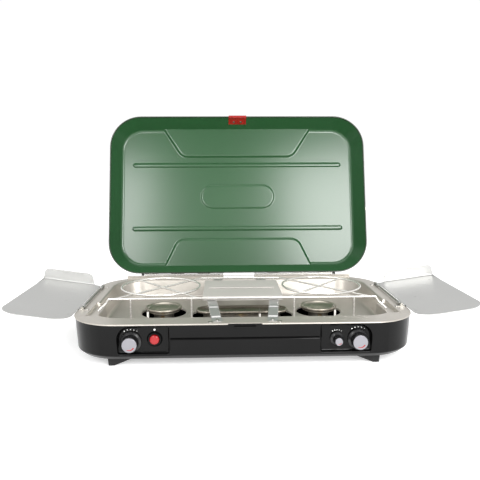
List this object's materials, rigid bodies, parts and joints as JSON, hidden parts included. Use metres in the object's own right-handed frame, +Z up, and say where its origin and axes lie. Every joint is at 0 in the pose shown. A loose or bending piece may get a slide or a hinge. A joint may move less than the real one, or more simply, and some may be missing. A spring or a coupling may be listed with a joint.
{
  "type": "camp stove",
  "caption": "Folding three-burner camp stove: black pressed case, stainless deck with burners, one-piece wire grate, two hinged wind guards, knobs, and a green latching lid",
  "frame": {"origin": "on the table, under the middle of the case's footprint", "axes": "+X to the user's right along the width, +Y away from the user, +Z up"},
  "size_m": [0.988, 0.6118, 0.5367],
  "materials": {
    "case_black": "gloss black enamel on pressed steel",
    "deck_steel": "bright stainless sheet",
    "hardware": "plated steel hinges, rods and screws",
    "guard_steel": "pale grey semi-gloss coated sheet",
    "wire_chrome": "bright plated wire",
    "burner_steel": "stainless burner pressings",
    "brass": "machined brass",
    "lid_green": "deep green gloss enamel",
    "latch_red": "red enamel on steel",
    "button_red": "moulded red plastic",
    "knob_black": "moulded black plastic",
    "knob_face": "bright metal disc",
    "foot_black": "moulded black plastic",
    "piezo_case": "moulded cream plastic",
    "ceramic": "glazed white ceramic",
    "lead_cover": "black insulated lead"
  },
  "bodies": {
    "stove_base": {"base_case": "case_black", "front_fascia": "case_black", "control_panel_left": "case_black", "control_panel_right": "case_black", "feet": "foot_black", "latch_catch": "case_black", "deck_pan": "deck_steel", "deck_screws": "hardware", "centre_bridge": "deck_steel", "rear_shield": "deck_steel", "case_hinge_leaves": "hardware", "lid_hinge_pins": "hardware", "guard_brackets_left": "hardware", "guard_brackets_right": "hardware", "guard_rod_left": "hardware", "guard_rod_right": "hardware", "burner_left_bowl": "burner_steel", "burner_left_cap": "burner_steel", "burner_right_bowl": "burner_steel", "burner_right_cap": "burner_steel", "burner_centre_bowl": "burner_steel", "burner_centre_cap": "burner_steel", "gas_jets": "brass", "gas_tubes": "hardware", "gas_manifold": "hardware", "fuel_inlet": "brass", "valve_left": "brass", "valve_small": "brass", "valve_right": "brass", "piezo_igniter": "piezo_case", "spark_insulators": "ceramic", "spark_electrodes": "hardware", "ignition_leads": "lead_cover"},
    "lid": {"lid_shell": "lid_green", "lid_hinge_leaves": "hardware", "lid_side_clips": "hardware", "latch_bracket": "latch_red", "latch_rivets": "hardware", "latch_pin": "hardware"},
    "latch": {"latch_lever": "latch_red"},
    "wind_guard_left": {"wind_guard_left": "guard_steel"},
    "wind_guard_right": {"wind_guard_right": "guard_steel"},
    "knob_left": {"knob_left": "knob_black", "knob_left_face": "knob_face", "knob_left_stem": "hardware"},
    "knob_small": {"knob_small": "knob_black", "knob_small_face": "knob_face", "knob_small_stem": "hardware"},
    "knob_right": {"knob_right": "knob_black", "knob_right_face": "knob_face", "knob_right_stem": "hardware"},
    "igniter_button": {"igniter_button": "button_red"},
    "wire_grate": {"wire_grate": "wire_chrome"}
  },
  "joints": [
    {"name": "lid_hinge", "type": "hinge", "parent": "stove_base", "child": "lid", "pos_m": [0, 0.2255, 0.1], "axis": [1, 0, 0], "range_deg": [0, 103]},
    {"name": "latch_pivot", "type": "hinge", "parent": "lid", "child": "latch", "pos_m": [0, 0.34568, 0.53046], "axis": [1, 0, 0], "range_deg": [0, 195]},
    {"name": "left_guard_hinge", "type": "hinge", "parent": "stove_base", "child": "wind_guard_left", "pos_m": [-0.345, 0, 0.099], "axis": [0, 1, 0], "range_deg": [0, 154]},
    {"name": "right_guard_hinge", "type": "hinge", "parent": "stove_base", "child": "wind_guard_right", "pos_m": [0.345, 0, 0.099], "axis": [0, -1, 0], "range_deg": [0, 154]},
    {"name": "left_knob_turn", "type": "hinge", "parent": "stove_base", "child": "knob_left", "pos_m": [-0.226, -0.218, 0.0565], "axis": [0, 1, 0], "range_deg": [0, 270]},
    {"name": "small_knob_turn", "type": "hinge", "parent": "stove_base", "child": "knob_small", "pos_m": [0.1835, -0.218, 0.0585], "axis": [0, 1, 0], "range_deg": [0, 270]},
    {"name": "right_knob_turn", "type": "hinge", "parent": "stove_base", "child": "knob_right", "pos_m": [0.226, -0.218, 0.0565], "axis": [0, 1, 0], "range_deg": [0, 270]},
    {"name": "button_push", "type": "slide", "parent": "stove_base", "child": "igniter_button", "axis": [0, 1, 0], "range_m": [0, 0.004], "stiffness_N_per_m": 600, "springref_m": -0.002},
    {"name": "grate_lift", "type": "slide", "parent": "stove_base", "child": "wire_grate", "axis": [0, 0, -1], "range_m": [-0.12, 0]}
  ]
}
